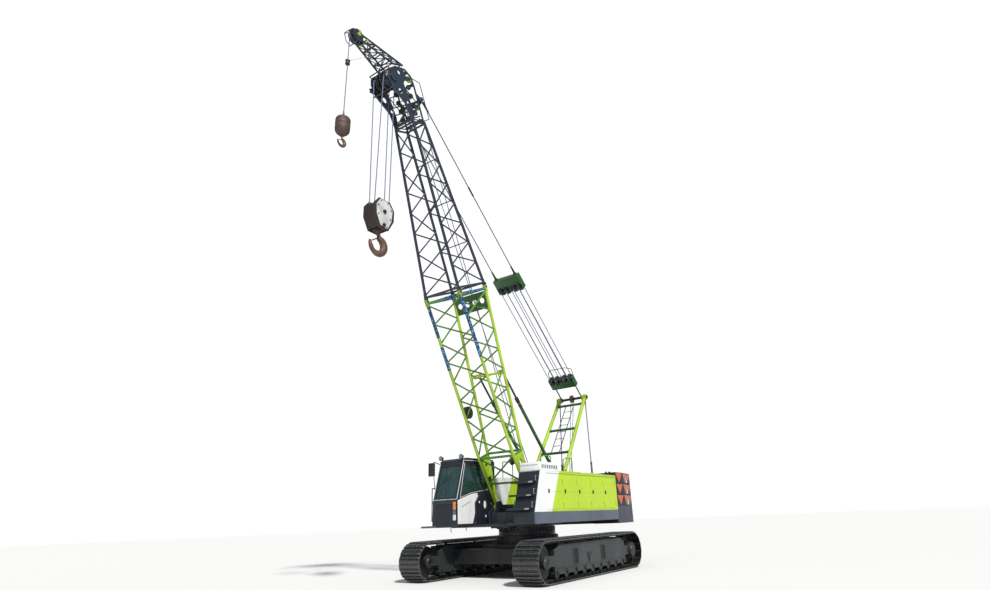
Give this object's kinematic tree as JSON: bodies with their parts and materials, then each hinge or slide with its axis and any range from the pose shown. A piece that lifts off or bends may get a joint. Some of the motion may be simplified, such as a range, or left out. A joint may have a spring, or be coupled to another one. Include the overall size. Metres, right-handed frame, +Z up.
{
  "type": "crawler crane",
  "caption": "Lattice-boom crawler crane: two endless tracks, a slewing upper with cab, engine houses and counterweight, a gantry, a luffing boom and two hook lines.",
  "frame": {"origin": "floor under the centre of the bounding box; the slewing axis stands at y = 1.668 m", "axes": "+Z up, -Y the way the machine faces with its boom, +X its left side"},
  "size_m": [4.56, 12.336, 14.3865],
  "materials": {
    "lime": "gloss",
    "dark_green": "satin",
    "navy": "satin",
    "black": "worn, dusty",
    "grey": "satin",
    "white": "gloss",
    "steel": "bare, greased",
    "rust": "rusted",
    "fabric": "woven"
  },
  "bodies": {
    "undercarriage": {"car_body": "black", "left_track": "black", "left_track_frame": "grey", "left_idler": "black", "left_sprocket": "black", "right_track": "black", "right_track_frame": "grey", "right_idler": "black", "right_sprocket": "black"},
    "upper": {"slew_ring": "steel", "revolving_frame": "grey", "left_house": "lime", "right_house": "lime", "engine_block": "steel", "front_steps": "navy", "counterweight": "navy", "cab_shell": "navy", "cab_seat": "fabric", "gantry": "lime"},
    "boom": {"boom_base": "lime", "boom_top": "navy", "boom_head": "navy", "boom_tip": "navy"},
    "main_line": {"main_rope_left": "steel", "main_rope_right": "steel"},
    "main_block": {"hook_block": "white"},
    "main_block_sheaves": {"block_sheaves": "black"},
    "hook_of_main_block": {"main_hook": "rust"},
    "auxiliary_line": {"auxiliary_rope": "steel"},
    "auxiliary_ball": {"auxiliary_weight": "rust"},
    "hook_of_auxiliary_ball": {"auxiliary_hook": "rust"},
    "stays": {"left_stay": "steel", "right_stay": "steel", "upper_spreader": "dark_green"},
    "bail": {"lower_spreader": "dark_green"},
    "boom_head_sheaves": {"head_sheaves": "black"},
    "boom_tip_sheave": {"tip_sheave": "black"},
    "door_of_cab": {"cab_door": "navy"},
    "left_backstop_barrel": {"left_backstop_tube": "lime"},
    "left_backstop_plunger": {"left_backstop_rod": "steel"},
    "right_backstop_barrel": {"right_backstop_tube": "lime"},
    "right_backstop_plunger": {"right_backstop_rod": "steel"},
    "winch_main_drum": {"main_drum": "dark_green"},
    "winch_auxiliary_drum": {"auxiliary_drum": "dark_green"},
    "winch_luffing_drum": {"luffing_drum": "dark_green"},
    "left_side_door_1": {"left_door_1": "lime"},
    "left_side_door_2": {"left_door_2": "lime"},
    "left_side_door_3": {"left_door_3": "lime"},
    "left_side_door_4": {"left_door_4": "lime"},
    "left_side_door_5": {"left_door_5": "lime"},
    "right_side_door_1": {"right_door_1": "lime"},
    "right_side_door_2": {"right_door_2": "lime"}
  },
  "joints": [
    {"name": "slew", "type": "hinge", "parent": "undercarriage", "child": "upper", "pos_m": [0, 1.66801, 1.06], "axis": [0, 0, 1], "continuous": true},
    {"name": "boom_luff", "type": "hinge", "parent": "upper", "child": "boom", "pos_m": [0, 1.05301, 1.88], "axis": [-1, 0, 0], "range_deg": [-36.2, 13.8]},
    {"name": "stay_swing", "type": "hinge", "parent": "boom", "child": "stays", "pos_m": [0, -3.58122, 13.27928], "axis": [-1, 0, 0], "range_deg": [-1.4, 3.7]},
    {"name": "bail_swing", "type": "hinge", "parent": "upper", "child": "bail", "pos_m": [0, 5.00801, 5.58], "axis": [-1, 0, 0], "range_deg": [-32.3, 12.4]},
    {"name": "main_line_swing", "type": "hinge", "parent": "boom", "child": "main_line", "pos_m": [0, -4.64197, 13.37976], "axis": [-1, 0, 0], "range_deg": [-13.9, 36.3]},
    {"name": "main_hoist", "type": "slide", "parent": "main_line", "child": "main_block", "axis": [0, 0, 1], "range_m": [-2.2, 2], "deforming": ["main_rope_left", "main_rope_right"]},
    {"name": "main_block_sheave_spin", "type": "hinge", "parent": "main_block", "child": "main_block_sheaves", "pos_m": [0, -4.64197, 9.09976], "axis": [1, 0, 0], "continuous": true},
    {"name": "main_hook_swivel", "type": "hinge", "parent": "main_block", "child": "hook_of_main_block", "pos_m": [0, -4.64197, 8.62976], "axis": [0, 0, 1], "continuous": true},
    {"name": "head_sheave_spin", "type": "hinge", "parent": "boom", "child": "boom_head_sheaves", "pos_m": [0, -4.64197, 13.37976], "axis": [1, 0, 0], "continuous": true},
    {"name": "tip_sheave_spin", "type": "hinge", "parent": "boom", "child": "boom_tip_sheave", "pos_m": [0, -5.77801, 14.14653], "axis": [1, 0, 0], "continuous": true},
    {"name": "auxiliary_line_swing", "type": "hinge", "parent": "boom", "child": "auxiliary_line", "pos_m": [0, -5.77801, 14.14653], "axis": [-1, 0, 0], "range_deg": [-13.9, 36.3]},
    {"name": "auxiliary_hoist", "type": "slide", "parent": "auxiliary_line", "child": "auxiliary_ball", "axis": [0, 0, 1], "range_m": [-3.5, 1.5], "deforming": ["auxiliary_rope"]},
    {"name": "auxiliary_hook_swivel", "type": "hinge", "parent": "auxiliary_ball", "child": "hook_of_auxiliary_ball", "pos_m": [0, -5.97801, 10.76653], "axis": [0, 0, 1], "continuous": true},
    {"name": "left_backstop_swing", "type": "hinge", "parent": "upper", "child": "left_backstop_barrel", "pos_m": [0.45, 3.46801, 2.06], "axis": [-1, 0, 0], "range_deg": [-24, 9.2]},
    {"name": "left_backstop_slide", "type": "slide", "parent": "left_backstop_barrel", "child": "left_backstop_plunger", "axis": [0, -0.6888, 0.725], "range_m": [-0.39, 1.02]},
    {"name": "right_backstop_swing", "type": "hinge", "parent": "upper", "child": "right_backstop_barrel", "pos_m": [-0.45, 3.46801, 2.06], "axis": [-1, 0, 0], "range_deg": [-24, 9.2]},
    {"name": "right_backstop_slide", "type": "slide", "parent": "right_backstop_barrel", "child": "right_backstop_plunger", "axis": [0, -0.6888, 0.725], "range_m": [-0.39, 1.02]},
    {"name": "main_drum_spin", "type": "hinge", "parent": "upper", "child": "winch_main_drum", "pos_m": [0, 1.96801, 1.8], "axis": [1, 0, 0], "continuous": true},
    {"name": "auxiliary_drum_spin", "type": "hinge", "parent": "upper", "child": "winch_auxiliary_drum", "pos_m": [0, 2.74801, 1.8], "axis": [1, 0, 0], "continuous": true},
    {"name": "luffing_drum_spin", "type": "hinge", "parent": "upper", "child": "winch_luffing_drum", "pos_m": [0, 4.08801, 1.8], "axis": [1, 0, 0], "continuous": true},
    {"name": "cab_door_slide", "type": "slide", "parent": "upper", "child": "door_of_cab", "axis": [0, 1, 0], "range_m": [0, 0.6]},
    {"name": "left_door_1_hinge", "type": "hinge", "parent": "upper", "child": "left_side_door_1", "pos_m": [1.685, 1.06801, 1.74], "axis": [0, 0, 1], "range_deg": [0, 90]},
    {"name": "left_door_2_hinge", "type": "hinge", "parent": "upper", "child": "left_side_door_2", "pos_m": [1.685, 1.90801, 1.74], "axis": [0, 0, 1], "range_deg": [0, 90]},
    {"name": "left_door_3_hinge", "type": "hinge", "parent": "upper", "child": "left_side_door_3", "pos_m": [1.685, 2.74801, 1.74], "axis": [0, 0, 1], "range_deg": [0, 90]},
    {"name": "left_door_4_hinge", "type": "hinge", "parent": "upper", "child": "left_side_door_4", "pos_m": [1.685, 3.58801, 1.74], "axis": [0, 0, 1], "range_deg": [0, 90]},
    {"name": "left_door_5_hinge", "type": "hinge", "parent": "upper", "child": "left_side_door_5", "pos_m": [1.685, 4.40801, 1.74], "axis": [0, 0, 1], "range_deg": [0, 90]},
    {"name": "right_door_1_hinge", "type": "hinge", "parent": "upper", "child": "right_side_door_1", "pos_m": [-1.685, 2.97801, 1.74], "axis": [0, 0, -1], "range_deg": [0, 90]},
    {"name": "right_door_2_hinge", "type": "hinge", "parent": "upper", "child": "right_side_door_2", "pos_m": [-1.685, 4.40801, 1.74], "axis": [0, 0, -1], "range_deg": [0, 90]}
  ],
  "couplings": [
    {"joint": "stay_swing", "follows": "boom_luff", "ratio": -0.1},
    {"joint": "bail_swing", "follows": "boom_luff", "ratio": 0.89},
    {"joint": "main_line_swing", "follows": "boom_luff", "ratio": -1},
    {"joint": "auxiliary_line_swing", "follows": "boom_luff", "ratio": -1},
    {"joint": "left_backstop_swing", "follows": "boom_luff", "ratio": 0.66},
    {"joint": "left_backstop_slide", "follows": "boom_luff", "m_per_rad": -1.6},
    {"joint": "right_backstop_swing", "follows": "boom_luff", "ratio": 0.66},
    {"joint": "right_backstop_slide", "follows": "boom_luff", "m_per_rad": -1.6}
  ]
}
